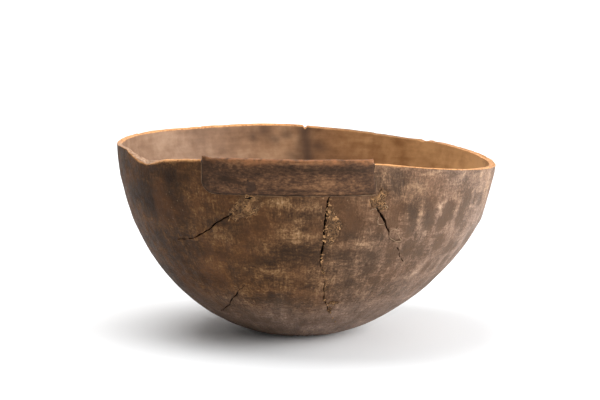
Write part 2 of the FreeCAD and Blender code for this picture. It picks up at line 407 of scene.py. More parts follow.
def bowl_columns():
    """Azimuths of the bowl's columns, with a pair set close together at each end of the notch."""
    spread_out = np.linspace(-1.5 * math.pi, 0.5 * math.pi, 4001)
    density = 0.5 + bell(spread_out + 1.7, 0.95)
    share = np.concatenate([[0.0], np.cumsum((density[1:] + density[:-1]) / 2)])
    azimuths = np.interp(np.linspace(0, share[-1], COLUMNS, endpoint=False), share, spread_out)
    top_radius = OUTER.radius_at(RIM_LEVEL)
    for edge in (PATCH_LEFT - GUM, patch_right(RIM_LEVEL) + GUM):
        cut = -math.acos(edge / top_radius)
        nearest = int(np.argmin(np.abs(azimuths - cut)))
        azimuths[nearest] = cut
        azimuths = np.insert(azimuths, nearest + 1, cut + 0.0004)
    return azimuths


def bowl_loops():
    """Rings of the bowl from the middle of its foot, over the rim, to the middle of its floor."""
    azimuth = bowl_columns()
    # Inside, columns near the board are turned a little, so that the notch has straight ends.
    straight = OUTER.radius_at(RIM_LEVEL) / INNER.radius_at(RIM_LEVEL) * np.cos(azimuth)
    turned = -np.arccos(np.clip(straight, -1, 1)) - azimuth
    near_patch = smoothstep(-2.7, -2.3, azimuth) * fall(-1.0, -0.7, azimuth)
    inner_azimuth = azimuth + turned * near_patch

    outer_x = OUTER.radius_at(RIM_LEVEL) * np.cos(azimuth)
    in_notch = (outer_x > PATCH_LEFT - GUM) & (outer_x < patch_right(RIM_LEVEL) + GUM) & (np.sin(azimuth) < 0)
    notch_floor = patch_bottom(outer_x) - GUM

    def top(outline, angle):
        point = ring_point(outline.radius_at(RIM_LEVEL), RIM_LEVEL, angle)
        uneven = rim_height(point[:, 0], point[:, 1]) - chip_depth(angle) + ragged_rim(point, angle)
        return np.where(in_notch, notch_floor, uneven)

    outer_top = top(OUTER, azimuth)
    inner_top = top(INNER, inner_azimuth)
    # The broken stretch slopes outwards, so that its pale inside shows from the front.
    outer_top -= np.where(in_notch, 0, BROKEN_SLOPE * broken_stretch(azimuth))
    inner_top += np.where(in_notch, 0, 0.8 * BROKEN_SLOPE * broken_stretch(azimuth))
    crisp = smoothstep(-2.62, -2.48, azimuth) * fall(-2.1, -1.9, azimuth)
    curl = np.where(in_notch, 0.3, RIM_CURL - 0.6 * crisp)

    rings = []
    sides = []

    def ring(points, side):
        rings.append(points)
        sides.append(np.full(len(azimuth), side))

    for share in np.linspace(0.15, 0.9, 4):
        ring(ring_point(OUTER_CURVE[0][0] * share, np.zeros_like(azimuth), azimuth), 0.0)
    ledge_length = OUTER.length_at(LEDGE)
    for length in np.linspace(0, ledge_length, 132):
        radius, height = OUTER.at_length(length)
        ring(ring_point(radius, height + 0 * azimuth, azimuth), 0.0)
    for share in np.linspace(0, 1, 23)[1:]:
        height = LEDGE + (outer_top - curl - LEDGE) * share
        ring(ring_point(OUTER.radius_at(height), height, azimuth), 0.0)

    outer_edge = ring_point(OUTER.radius_at(outer_top - curl), outer_top, azimuth)
    inner_edge = ring_point(INNER.radius_at(inner_top - curl), inner_top, inner_azimuth)
    across = inner_edge - outer_edge
    thickness = np.linalg.norm(across[:, :2], axis=1)

    def rounded(edge, inward, k, side):
        bend = 0.5 * math.pi * k / 5
        step = (curl * (1 - math.cos(bend)) / thickness)[:, None]
        drop = (curl * (1 - math.sin(bend)))[:, None] * np.array([0, 0, 1])
        ring(edge + inward * step - drop, side)

    for k in range(1, 6):
        rounded(outer_edge, across, k, 0.1 * k)
    for share in (0.42, 0.5, 0.58):
        ring(outer_edge + across * share, 0.5)
    for k in range(5, 0, -1):
        rounded(inner_edge, -across, k, 1 - 0.1 * k)

    for share in np.linspace(1, 0, 15)[:-1]:
        height = LEDGE + (inner_top - curl - LEDGE) * share
        ring(ring_point(INNER.radius_at(height), height, inner_azimuth), 1.0)
    for length in np.linspace(INNER.length_at(LEDGE), 1.0, 76):
        radius, height = INNER.at_length(length)
        ring(ring_point(radius, height + 0 * azimuth, inner_azimuth), 1.0)
    return np.array(rings), np.array(sides)


BROKEN_SLOPE = 1.3           # how far the broken edge falls on its outer side


def broken_stretch(azimuth):
    """1 along the broken stretch of the rim at the front left, 0 elsewhere."""
    turn = from_behind(azimuth)
    return smoothstep(-2.86, -2.66, turn) * fall(-2.50, -2.36, turn)


# Chips in the rim: (azimuth in degrees, half width in degrees, depth in mm).
CHIPS = ((90.8, 0.75, 2.2), (47.3, 1.5, 1.0), (44.5, 0.9, -0.6), (128.0, 0.9, 0.4), (12.0, 1.5, 0.5),
         (176.0, 1.8, 0.6), (158.0, 1.0, 0.4), (66.0, 0.7, 0.4), (-18.0, 1.3, 0.3), (-40.0, 1.0, 0.3))


def chip_depth(azimuth):
    depth = np.zeros_like(azimuth)
    for place, half, deep in CHIPS:
        depth += deep * fall(0.35 * half, half, np.degrees(np.abs(turn_from(place, azimuth))))
    return depth


def ragged_rim(points, azimuth):
    """Small rises and falls of the rim, rougher along the broken stretch."""
    gentle = layers(points, (0.2, 24.0, 11), (0.16, 7.0, 12), (0.1, 3.0, 17))
    rough = layers(points, (0.3, 7.0, 13), (0.4, 2.5, 14))
    return gentle + broken_stretch(azimuth) * rough


# Bumps and hollows of the outside: (azimuth in degrees, height, reach in mm, outward amount in mm).
BUMPS = ((-4.0, 97.0, 10.0, 0.9), (-4.0, 121.0, 16.0, -1.2), (-4.0, 84.0, 7.0, -0.8),
         (-178.0, 96.0, 12.0, 0.9), (-176.0, 118.0, 15.0, -0.7), (-135.0, 33.0, 12.0, -0.9),
         (-150.0, 52.0, 14.0, 0.7), (40.0, 90.0, 22.0, 0.9), (110.0, 70.0, 24.0, -0.9),
         (150.0, 110.0, 20.0, 0.8))


def outside_relief(points, azimuth):
    """How far the outside stands proud of the plain outline: carving marks, wear and warping."""
    relief = layers(points, (0.45, 42.0, 21), (0.28, 17.0, 22), (0.09, 5.0, 23))
    mark = cut_marks(azimuth, points[:, 2])
    depth = 0.38 + 0.25 * noise(points, 60.0, 24)
    relief -= np.clip(depth, 0.05, 1) * fall(0.0, 0.62, mark)
    for place, level, reach, amount in BUMPS:
        middle = ring_point(OUTER.radius_at(level), np.array(level), np.array(math.radians(place)))
        relief += amount * bell(np.linalg.norm(points - middle, axis=1), reach)
    return relief


def inside_relief(points, skin, azimuth):
    """The hollow is smoother, with long shallow gouge marks, and the wall thins at the rim's ends."""
    from_left = math.pi - np.abs(azimuth)
    thinned = 1.7 * bell(azimuth, 0.8) + 1.2 * bell(from_left, 0.5)
    thinned *= smoothstep(105.0, 145.0, points[:, 2])
    gouges = noise(skin * np.array([1.0, 1.0, 0.12]), 9.0, 41)
    return layers(points, (0.5, 45.0, 42), (0.2, 15.0, 43)) + 0.16 * gouges - thinned


def crack_cut(points):
    """How deep the cracks go at each point, from 0 to 1, with wandering, broken edges."""
    wander = np.stack([noise(points, 5.0, 51), 0 * points[:, 0], noise(points, 5.0, 52)], axis=1)
    moved = points + 0.7 * wander
    swell = layers(points, (0.5, 5.0, 56), (0.7, 2.2, 53))
    fray = 0.07 * noise(points, 0.9, 54)
    cut = np.zeros(len(points))
    for line, width in CRACK_LINES:
        away = distance_to_crack(moved, line, CRACK_WIDTH * width, swell) + fray
        cut = np.maximum(cut, fall(-0.22, 0.16, away))
    return cut


def seat_of_fills(points):
    """1 inside the recesses of the fills."""
    x, z = points[:, 0], points[:, 2]
    seat = np.zeros(len(points))
    for outline in FILL_OUTLINES:
        seat = np.maximum(seat, fall(0.78, 0.98, share_of_outline(x, z, outline)))
    return seat


def flake_groove(points):
    """The open gap along the flake's left and lower edges; its other edges are closed tight."""
    x, z = points[:, 0], points[:, 2]
    share = share_of_outline(x, z, FLAKE)
    middle = smooth_loop(FLAKE, 180).mean(0)
    leaning = (middle[0] - x) * 0.75 + (middle[1] - z) * 0.65
    opened = smoothstep(-2.0, 3.0, leaning + 1.2 * noise(points, 3.0, 55))
    return opened * fall(1.02, 1.10, share)


def refine_near_cracks(mesh):
    """Split the faces near the cracks and the flake, so that they have room for fine detail."""
    bm = bmesh.new()
    bm.from_mesh(mesh)
    side = bm.verts.layers.float["side"]
    bm.verts.ensure_lookup_table()
    points = np.array([v.co for v in bm.verts])
    near = np.full(len(points), 99.0)
    for line, width in CRACK_LINES:
        near = np.minimum(near, distance_to_crack(points, line, width))
    flake = share_of_outline(points[:, 0], points[:, 2], FLAKE)
    near[(flake < 1.5) & (points[:, 1] < 0)] = 0.0
    outside = np.array([v[side] < 0.05 for v in bm.verts])
    wanted = (near < 2.2) & outside & (points[:, 1] < 0)
    edges = {e for f in bm.faces if any(wanted[v.index] for v in f.verts) for e in f.edges}
    bmesh.ops.subdivide_edges(bm, edges=list(edges), cuts=3, use_grid_fill=True)
    bm.to_mesh(mesh)
    bm.free()


def azimuth_of(points):
    return np.arctan2(points[:, 1] / OVALITY, points[:, 0] - middle_x(points[:, 2]))


SKIN_RADIUS = 150.0


def skin_of(points, azimuth, inside):
    """Places on the wall unrolled onto an upright cylinder, so that marks run down the wall."""
    outer_length = OUTER.length_at(points[:, 2])
    inner_length = INNER.length_at(points[:, 2])
    length = np.where(inside > 0.5, inner_length, outer_length)
    return np.stack([SKIN_RADIUS * np.cos(azimuth), SKIN_RADIUS * np.sin(azimuth), length], axis=1)


# Dark and pale areas of the outside, as a list of soft spots:
# (azimuth in degrees, height, half width in mm, half height in mm, strength); dark is negative.
TONES = (
    # upper left: a dark stretch with a tan one beside the board
    (-134, 143, 7, 4, -1.3), (-127, 145, 4, 3, -0.8), (-136, 121, 24, 12, -0.85), (-146, 128, 16, 10, -0.5),
    (-125, 128, 9, 18, 0.75), (-124, 108, 12, 9, 0.45), (-117, 99, 11, 6, 0.7), (-148, 105, 20, 5, 0.5),
    (-136, 118, 2, 7, 0.7), (-134, 109, 2, 6, 0.6), (-150, 146, 12, 8, 0.3), (-121, 84, 20, 8, -0.4),
    (-125, 73, 22, 6, 0.4), (-150, 82, 22, 10, -0.15), (-103, 51, 5, 3, -1.5), (-111, 53, 18, 6, 0.45),
    # the middle: level bands, and two dark patches right of the crack
    (-97, 128, 9, 5, 0.55), (-93, 117, 7, 13, 0.5), (-100, 107, 12, 6, 0.35), (-102, 117, 9, 7, -0.6),
    (-90, 104, 20, 3, 0.45), (-92, 90, 26, 5, -0.8), (-92, 98, 22, 2, 0.35), (-96, 80, 24, 5, -0.55),
    (-95, 73, 30, 4, 0.55), (-98, 64, 26, 4, -0.55), (-92, 56, 30, 4, 0.3), (-77, 114, 13, 9, -0.8),
    (-78, 101, 12, 6, -0.8), (-75, 93, 18, 4, 0.6), (-76, 83, 20, 5, -0.55), (-79, 129, 17, 8, -0.55),
    (-75, 61, 8, 6, -0.7), (-65, 50, 12, 6, 0.4), (-68, 106, 6, 7, -0.7), (-66, 134, 8, 8, -0.7),
    # the right: paler, with dark cut marks in rows
    (-60, 146, 6, 6, -0.7), (-37, 135, 6, 9, -0.7), (-50, 140, 22, 10, 0.35), (-57.5, 114, 5, 5, -1.1),
    (-51, 112, 5, 8, -1.2), (-43, 114, 6, 9, -1.2), (-36, 116, 4, 6, -0.9), (-54.4, 113, 2, 9, 0.7),
    (-47, 113, 3, 10, 0.8), (-39.5, 115, 2, 8, 0.6),
    (-59, 103, 6, 4, -0.7), (-54, 100, 4, 4, -0.7), (-55, 90, 6, 7, -1.0), (-42, 89, 6, 5, -0.8),
    (-33, 89, 6, 5, -0.7), (-61, 79, 6, 7, -1.0), (-48, 81, 6, 6, -0.7), (-67, 70, 6, 5, -0.8),
    (-62, 67, 5, 4, -0.7), (-64, 61, 7, 4, -0.6), (-45, 123, 26, 4, 0.5), (-46, 101, 24, 4, 0.5),
    (-50, 72, 24, 5, 0.35), (-22, 125, 18, 26, 0.9), (-34, 144, 26, 9, 0.6), (-55, 150, 20, 5, 0.5),
    (-40, 66, 26, 12, 0.6), (-30, 95, 22, 14, 0.35),
)


def painted_tone(points, azimuth):
    """From -1 for dark to 1 for pale: level bands of old polish, the spots, and painted shade that darkens
    the left side, away from the window.
    """
    wobble = layers(points, (3.0, 40.0, 61), (1.6, 9.0, 62))
    level = points[:, 2] + wobble
    side_step = 2.5 * noise(points, 11.0, 63)
    bands = 0.5 * np.sin(level * 2 * math.pi / 31.0 + 0.6) + 0.4 * np.sin(level * 2 * math.pi / 12.5)
    front = bell(np.degrees(azimuth) + 92.0, 30.0)
    # The term that falls towards the left (-X) is painted shade on the side away from the window.
    tone = (0.16 + 0.22 * front) * bands - 0.8 * smoothstep(0.1, 0.9, -np.cos(azimuth))
    behind = smoothstep(0.0, 0.5, np.sin(azimuth))
    flattened = points * np.array([1.0, 1.0, 1.7])
    tone += behind * (0.7 * noise(flattened, 38.0, 60) + 0.6 * noise(points, 13.0, 59))
    for place, height, half_wide, half_tall, strength in TONES:
        arc = turn_from(place, azimuth) * SKIN_RADIUS + side_step
        away = (arc / half_wide) ** 2 + ((level - height) / half_tall) ** 2
        tone += strength * np.exp(-away ** 2)
    return tone


# Blots in the hollow: (azimuth in degrees, height, half width in degrees).
BLOTS = ((97.0, 154.0, 3.0), (101.5, 149.0, 2.6), (104.5, 156.0, 2.2), (88.0, 141.0, 3.4), (93.5, 133.0, 3.8),
         (109.0, 151.0, 2.0))


def interior_stain(points, azimuth):
    """The dark run of old liquid down the back of the hollow, and the blots beside it."""
    degrees = np.degrees(azimuth) + 2.0 * noise(points, 14.0, 71)
    height = points[:, 2] + 4.0 * noise(points, 9.0, 72)
    stain = bell(degrees - 91.0, 2.3) * smoothstep(95.0, 130.0, height)
    for place, level, size in BLOTS:
        stain = np.maximum(stain, 0.75 * bell(degrees - place, size) * bell(height - level, 6.0))
    return stain


def make_bowl(material):
    rings, sides = bowl_loops()
    mesh = new_mesh("bowl", *closed_skin(rings))
    paint(mesh, "side", np.concatenate([sides.ravel(), [0.0, 1.0]]))
    refine_near_cracks(mesh)

    points = points_of(mesh)
    side = np.empty(len(points), np.float32)
    mesh.attributes["side"].data.foreach_get("value", side)
    side = side.astype(float)
    azimuth = azimuth_of(points)
    skin = skin_of(points, azimuth, side)
    seen = (side < 0.05) & (points[:, 1] < 0)
    cut = np.where(seen, crack_cut(points), 0.0)
    groove = np.where(seen, flake_groove(points), 0.0)
    seat = np.where(seen, seat_of_fills(points), 0.0)
    sunk = np.maximum(CRACK_DEPTH * cut, np.maximum(SEAT_DEPTH * seat, GROOVE_DEPTH * groove))

    moved = points + normals_of(mesh) * (bowl_relief(points, azimuth, side, skin) - sunk)[:, None]
    moved[:, 2] = np.where(side < 0.5, np.maximum(moved[:, 2], 0.0), moved[:, 2])
    mesh.vertices.foreach_set("co", moved.ravel())

    paint(mesh, "skin", skin * MM)
    # Painted shade: the cracks, the open gap beside the flake and, faintly, the recesses round the fills are
    # darkened as shade in the gaps.
    paint(mesh, "crack", np.maximum(smoothstep(0.3, 0.85, cut), np.maximum(0.75 * groove, 0.2 * seat)))
    paint_bowl(mesh, points, azimuth, side)
    finish_piece("bowl", mesh, material, "bowl_body")


def bowl_relief(points, azimuth, side, skin):
    """How far each point stands proud of the plain outlines, outside, inside and along the broken edge."""
    outer = fall(0.0, 0.5, side)
    crumbled = broken_stretch(azimuth) * smoothstep(0.0, 0.2, side) * fall(0.8, 1.0, side)
    crumbled *= layers(points, (0.5, 2.2, 15), (0.3, 1.1, 16))
    inner_relief = (1 - outer) * inside_relief(points, skin, azimuth)
    return crumbled + outer * outside_relief(points, azimuth) + inner_relief


def paint_bowl(mesh, points, azimuth, side):
    """Where the wood is worn, broken, marked, dark or pale, and stained, with painted light and shade: darker
    on the outside's left, a gradient from left to right across the hollow, and sheen low down and towards the
    right outside.
    """
    drop = rim_drop(points) - BROKEN_SLOPE * broken_stretch(azimuth)
    rim = fall(0.2, 1.7, drop + 0.5 * noise(points, 6.0, 64))
    rim = np.maximum(rim, np.where((side > 0.05) & (side < 0.95) & (drop < 6.0), 1.0, 0.0))
    back_right = bell(np.degrees(azimuth) - 65.0, 28.0)
    rim *= np.clip(1 - 0.75 * back_right + 0.25 * noise(points, 16.0, 67), 0, 1)
    paint(mesh, "worn", np.where(side < 0.95, rim, 0.5 * rim))
    turn = from_behind(azimuth)
    paint(mesh, "broken", smoothstep(-3.15, -2.95, turn) * fall(-2.50, -2.36, turn))
    paint(mesh, "mark", np.clip(cut_marks(azimuth, points[:, 2]), 0, 1))
    # Inside, tone is painted light: it rises from left to right, so the hollow is painted duller on the left
    # wall and warmer and brighter on the right.
    from_left = 0.5 + points[:, 0] / 300.0 + 0.15 * noise(points, 50.0, 69)
    paint(mesh, "tone", np.where(side > 0.5, from_left, painted_tone(points, azimuth)))
    paint(mesh, "stain", np.where(side > 0.5, interior_stain(points, azimuth), 0.0))
    paint(mesh, "spotted", spotted(azimuth, points))
    # Painted sheen and light on the outside, low down and towards the right.
    paint(mesh, "painted_sheen", np.where(side < 0.5, painted_sheen_share(points, azimuth), 0.0))


def painted_sheen_share(points, azimuth):
    """Where painted sheen and light turn the outside a dull grey brown: low down, for the white floor's
    reflection, and towards the right, which faces the window.
    """
    low = fall(14.0, 56.0, points[:, 2] + layers(points, (7.0, 22.0, 65), (3.0, 7.0, 66)))
    degrees = np.degrees(azimuth)
    right = smoothstep(-110.0, -20.0, degrees) * fall(60.0, 140.0, degrees)
    right *= 0.78 + 0.2 * noise(points, 25.0, 68) - 0.22 * smoothstep(95.0, 130.0, points[:, 2])
    return 1 - (1 - 0.8 * low) * (1 - right)


def rim_drop(points):
    """How far each point is below the rim's surface, in mm."""
    return np.maximum(rim_height(points[:, 0], points[:, 1]) - points[:, 2], 0.0)


def spotted(azimuth, points):
    """Where the cut marks hold dark polish: strongest at the right, and round the back."""
    degrees = np.degrees(azimuth)
    right = 0.6 * bell(degrees + 40.0, 26.0) * smoothstep(45.0, 70.0, points[:, 2])
    right *= fall(120.0, 140.0, points[:, 2])
    back = 0.3 * smoothstep(-5.0, 40.0, degrees) * fall(120.0, 175.0, degrees)
    back *= smoothstep(30.0, 60.0, points[:, 2])
    return np.clip(right + back + 0.15, 0, 1)


# ---- The board in the rim and its gum ----
PATCH_STEP = 0.7
PATCH_ROUNDING = 0.9
KNOT = (-42.6, 140.4, 3.9)   # x, z and radius
PIN_HOLE = (-45.2, 145.6)
# Soft dark and (negative) pale areas: x, height above the lower edge, half width, half height, strength.
PATCH_TONES = (
    (-64.0, 12.0, 5.0, 1.3, 1.3), (-57.0, 10.6, 5.0, 1.1, 1.4), (-50.5, 9.0, 5.0, 1.1, 1.2),
    (-62.0, 17.5, 10.0, 2.0, 0.6), (-46.0, 16.0, 9.0, 1.2, 0.7), (10.0, 19.5, 34.0, 2.4, 0.9),
    (36.0, 18.5, 14.0, 3.5, 0.8), (48.0, 9.0, 7.0, 9.0, 0.6), (20.0, 10.0, 16.0, 4.0, -0.7),
    (-20.0, 12.0, 18.0, 3.0, -0.4), (-30.0, 18.0, 16.0, 2.0, 0.5), (-5.0, 4.0, 20.0, 2.5, 0.4),
    (-66.0, 5.0, 8.0, 3.0, -0.3),
)


def patch_loops():
    """Upright cross-sections of the board from its left end to its right end."""
    xs = np.linspace(PATCH_LEFT, PATCH_RIGHT, int((PATCH_RIGHT - PATCH_LEFT) / PATCH_STEP))
    rise = np.linspace(0, 1, 42)[:, None]
    bottom = patch_bottom(xs)[None, :]
    place = np.stack([xs, 0 * xs, 0 * xs], axis=1)
    top = (patch_top(xs) + layers(place, (0.35, 18.0, 81), (0.2, 5.0, 82)))[None, :]
    from_left = xs - PATCH_LEFT
    top = top + 0.5 * bell(from_left - 3.0, 3.5) - 0.6 * bell(from_left - 8.0, 2.5)
    z = bottom + (top - bottom) * rise
    lean = (patch_right(z) - PATCH_RIGHT) * smoothstep(PATCH_RIGHT - 40.0, PATCH_RIGHT, xs)[None, :]
    x = xs[None, :] + lean

    outer_y = front_y(OUTER, x, z, PATCH_PROUD)
    points = np.stack([x, outer_y, z], axis=-1).reshape(-1, 3)
    stretched = points * np.array([0.06, 1.0, 1.0])
    grain = layers(stretched, (0.12, 1.5, 83), (0.14, 4.0, 84))
    relief = (grain + 0.25 * noise(points, 22.0, 85)).reshape(x.shape)
    corner = bell(x - PATCH_LEFT, 9.0) * bell(z - 160.0, 5.0)
    relief += corner * (0.5 * noise(points, 2.8, 86)).reshape(x.shape)
    relief -= 0.25 * fall(0.6, 1.1, knot_share(points)).reshape(x.shape)
    edge = np.minimum(np.minimum(x - PATCH_LEFT, patch_right(z) - x), np.minimum(z - bottom, top - z))
    inward = PATCH_ROUNDING - np.clip(edge, 0, PATCH_ROUNDING)
    relief -= PATCH_ROUNDING - np.sqrt(PATCH_ROUNDING ** 2 - inward ** 2)
    nicks = layers(points, (0.5, 2.4, 88), (0.5, 5.0, 89)) - 0.1
    relief -= 0.9 * np.clip(nicks, 0, 1).reshape(x.shape) * fall(0.0, 2.2, edge)
    outer_y = outer_y - relief

    inner_y = front_y(INNER, x, z)
    inner_points = np.stack([x, inner_y, z], axis=-1).reshape(-1, 3)
    inner_y = inner_y + 0.25 * noise(inner_points, 20.0, 87).reshape(x.shape)
    inner_y = inner_y - (1.6 * smoothstep(0.93, 1.0, rise) ** 2)

    outer_face = np.stack([x, outer_y, z], axis=-1)
    inner_face = np.stack([x, inner_y, z], axis=-1)[::-1]
    shares = np.array([0.2, 0.4, 0.6, 0.8])[:, None, None]
    over = outer_face[-1] + (inner_face[0] - outer_face[-1]) * shares
    over[..., 2] += 0.5 * np.sin(math.pi * shares[..., 0])
    under = inner_face[-1] + (outer_face[0] - inner_face[-1]) * shares
    loops = np.concatenate([outer_face, over, inner_face, under])
    return loops.transpose(1, 0, 2)


def knot_share(points):
    """0 at the knot's middle and 1 along its uneven outline."""
    x = points[:, 0] - KNOT[0]
    z = points[:, 2] - KNOT[1]
    squared = (np.abs(x) ** 3 + np.abs(z) ** 3) ** (1 / 3)
    return squared / KNOT[2] + layers(points, (0.25, 3.0, 93), (0.12, 1.2, 94))


def make_patch(material):
    mesh = new_mesh("patch", *closed_skin(patch_loops()))
    points = points_of(mesh)
    below_top = patch_top(points[:, 0]) - points[:, 2] + layers(points, (1.8, 12.0, 91), (1.0, 3.5, 97))
    paint(mesh, "worn", fall(0.0, 5.0, below_top))
    paint(mesh, "knot", knot_share(points))
    # The pin hole is painted only: a black spot of painted shade.
    pin = np.hypot(points[:, 0] - PIN_HOLE[0], points[:, 2] - PIN_HOLE[1])
    paint(mesh, "pin", fall(0.5, 1.0, pin))
    left_end = points[:, 0] - PATCH_LEFT
    right_end = patch_right(points[:, 2]) - points[:, 0]
    edge = np.minimum(np.minimum(left_end, right_end), points[:, 2] - patch_bottom(points[:, 0]))
    reach = 1.4 + layers(points, (1.2, 5.0, 95), (0.5, 1.6, 96))
    # The edge mask carries painted shade along the board's ends and lower edge, where it stands against the
    # bowl.
    paint(mesh, "edge", fall(0.0, 1.0, edge / np.maximum(reach, 0.2)))
    rise = points[:, 2] - PATCH_BOTTOM
    wander = 2.0 * noise(points * np.array([0.3, 1.0, 1.0]), 9.0, 92)
    level = rise + 0.4 * wander
    dark = 1.1 * bell(left_end, 9.0)
    for x, height, half_wide, half_tall, strength in PATCH_TONES:
        dark += strength * bell(points[:, 0] - x, half_wide) * bell(level - height, half_tall)
    paint(mesh, "dark", dark)
    finish_piece("board_in_rim", mesh, material, "rim_patch", sharp=60.0)


NOTCH_END_YS = (-130.0, -143.0)      # y of the notch's left and right ends at the rim
GUM_BELOW_RIM = 0.6


def gum_path():
    """Middle of the gum's bed: down the left end, round the corner, along the bottom and up the right."""
    half = GUM / 2
    left, right, bottom = PATCH_LEFT - half, PATCH_RIGHT + half, PATCH_BOTTOM - half
    radius = PATCH_CORNER + half
    left_top = rim_height(left, NOTCH_END_YS[0]) - GUM_BELOW_RIM
    right_top = rim_height(right - PATCH_LEAN, NOTCH_END_YS[1]) - GUM_BELOW_RIM
    path = [(left, z, -1.0, 0.0) for z in np.linspace(left_top, bottom + radius, 26, endpoint=False)]
    for angle in np.linspace(0, 0.5 * math.pi, 16, endpoint=False):
        path.append((left + radius * (1 - math.cos(angle)), bottom + radius * (1 - math.sin(angle)),
                     -math.cos(angle), -math.sin(angle)))
    path += [(x, bottom, 0.0, -1.0) for x in np.linspace(left + radius, right, 150, endpoint=False)]
    path += [(patch_right(z) + half, z, 1.0, 0.0) for z in np.linspace(bottom, right_top, 26)]
    return np.array(path)


def make_gum(material):
    """The gum's bed as a strip through the wall, squeezed out unevenly along the outside."""
    path = gum_path()
    x, z, out_x, out_z = path.T
    flat = np.stack([x, 0 * x, z], axis=1)
    squeezed = 0.1 + layers(flat, (0.3, 6.0, 101), (0.2, 2.0, 102))
    front = front_y(OUTER, x, z)
    back = front_y(INNER, x, z)
    loops = []
    half = GUM / 2
    for share, offset in ((0.0, -0.5), (0.0, 0.5), (0.04, 1.0), (0.3, 1.0), (0.7, 1.0), (1.0, 1.0),
                          (1.0, -1.0), (0.7, -1.0), (0.3, -1.0), (0.04, -1.0)):
        y = front + (back - front) * share - (squeezed if share == 0.0 else 0.0)
        loops.append(np.stack([x + out_x * half * offset, y, z + out_z * half * offset], axis=1))
    mesh = new_mesh("gum", *closed_skin(np.array(loops).transpose(1, 0, 2)))
    finish_piece("gum_in_joint", mesh, material, "patch_bedding")


# ---- Fills, plugs and the flake ----
def lump(outline, proud, roughness, grit, seed, deep=2.6, columns=120, rings=26):
    """A closed lump pressed into the wall inside an outline, with an uneven top and edge."""
    edge = smooth_loop(outline, columns)
    middle = edge.mean(0)
    flat = np.stack([edge[:, 0], 0 * edge[:, 0], edge[:, 1]], axis=1)
    ragged = 1 + layers(flat, (0.10, 3.0, seed + 2), (0.06, 1.2, seed + 3))
    edge = middle + (edge - middle) * ragged[:, None]
    loops = []
    for share in np.linspace(0.03, 1.0, rings):
        flat = middle + (edge - middle) * share
        point, normal = on_wall(flat[:, 0], flat[:, 1])
        rough = roughness * noise(point, 3.2, seed) + grit * noise(point, 1.1, seed + 1)
        lift = (proud + rough) * fall(0.75, 1.0, share) - 0.35 * smoothstep(0.8, 1.0, share)
        loops.append(point + normal * lift[:, None])
    for share in (1.0, 0.6, 0.1):
        flat = middle + (edge - middle) * share
        point, normal = on_wall(flat[:, 0], flat[:, 1])
        loops.append(point - normal * deep)
    return closed_skin(np.array(loops))


def strand(path, normals, radius, sides=5):
    """A thin fibre along points on the wall."""
    along = np.gradient(path, axis=0)
    along /= np.linalg.norm(along, axis=1, keepdims=True)
    across = np.cross(along, normals)
    across /= np.linalg.norm(across, axis=1, keepdims=True)
    up = np.cross(across, along)
    taper = radius * (0.35 + 0.65 * np.sin(np.linspace(0.15, math.pi - 0.15, len(path))) ** 0.5)
    angles = np.linspace(0, 2 * math.pi, sides, endpoint=False)
    loops = [path + taper[:, None] * (math.cos(a) * across + math.sin(a) * up) for a in angles]
    return closed_skin(np.array(loops).transpose(1, 0, 2))


def fibres(outline, count, length, radius, lift, seed):
    """Short curly fibres lying every way over a fill."""
    draw = np.random.default_rng(seed)
    edge = smooth_loop(outline, 90)
    middle = edge.mean(0)
    made = []
    for _ in range(count):
        start = middle + (edge[draw.integers(90)] - middle) * math.sqrt(draw.uniform(0, 0.9))
        heading = draw.uniform(0, 2 * math.pi)
        curl = draw.normal(0, 0.13)
        steps = int(draw.uniform(0.4, 1.2) * length / 0.5)
        turn = heading + np.cumsum(curl + draw.normal(0, 0.16, steps))
        flat = start + np.cumsum(np.stack([np.cos(turn), np.sin(turn)], axis=1) * 0.5, axis=0)
        inside = share_of_outline(flat[:, 0], flat[:, 1], outline) < draw.uniform(0.95, 1.2)
        flat = flat if inside.all() else flat[:int(np.argmin(inside))]
        if len(flat) < 6:
            continue
        point, normal = on_wall(flat[:, 0], flat[:, 1])
        arch = np.sin(np.linspace(0, math.pi, len(flat)))
        rise = lift * (0.1 + draw.uniform(0.1, 1.0) * arch)
        made.append(strand(point + normal * rise[:, None], normal, radius * draw.uniform(0.6, 1.3)))
    return made


def grains(outline, count, radius, seed):
    """Crumbs of gum and fibre scattered over a fill and its edge."""
    draw = np.random.default_rng(seed)
    edge = smooth_loop(outline, 90)
    middle = edge.mean(0)
    made = []
    for _ in range(count):
        flat = middle + (edge[draw.integers(90)] - middle) * math.sqrt(draw.uniform(0, 1.15))
        point, normal = on_wall(flat[:1], flat[1:])
        if noise(point, 5.0, seed)[0] < draw.uniform(-0.5, 0.3):
            continue
        size = radius * (0.4 + 1.2 * draw.uniform() ** 3)
        up = normal[0]
        east = np.cross(up, (0.0, 0.0, 1.0))
        east /= np.linalg.norm(east)
        north = np.cross(up, east)
        spin = draw.uniform(0, math.pi)
        longer = draw.uniform(0.8, 2.6)
        loops = []
        for latitude in (-0.9, -0.2, 0.45, 1.05):
            angle = np.linspace(0, 2 * math.pi, 7, endpoint=False)
            reach = size * math.cos(latitude) * (1 + draw.uniform(-0.25, 0.25, 7))
            a = (reach * longer * np.cos(angle))[:, None]
            b = (reach * np.sin(angle))[:, None]
            first = math.cos(spin) * east + math.sin(spin) * north
            second = math.cos(spin) * north - math.sin(spin) * east
            loops.append(point[0] + a * first + b * second + 0.8 * size * math.sin(latitude) * up)
        made.append(closed_skin(np.array(loops)))
    return made


# Curled scrapings (x, z) that stand along the right-hand crack and the flake.
SCRAPINGS = (
    ((47.8, 121.8), (49.0, 123.0), (51.5, 123.5), (53.2, 122.3)),
    ((58.6, 125.0), (60.6, 125.2), (62.0, 123.8), (60.4, 122.4)),
    ((54.4, 116.4), (53.9, 113.4), (54.9, 110.6), (57.2, 109.8), (59.4, 110.9)),
    ((63.6, 102.6), (64.8, 104.6), (67.2, 105.4), (69.6, 105.4), (70.2, 107.0)),
    ((63.6, 99.6), (65.0, 96.9), (68.4, 95.1), (72.0, 94.6), (73.0, 96.5), (71.3, 99.9), (69.2, 102.8)),
)


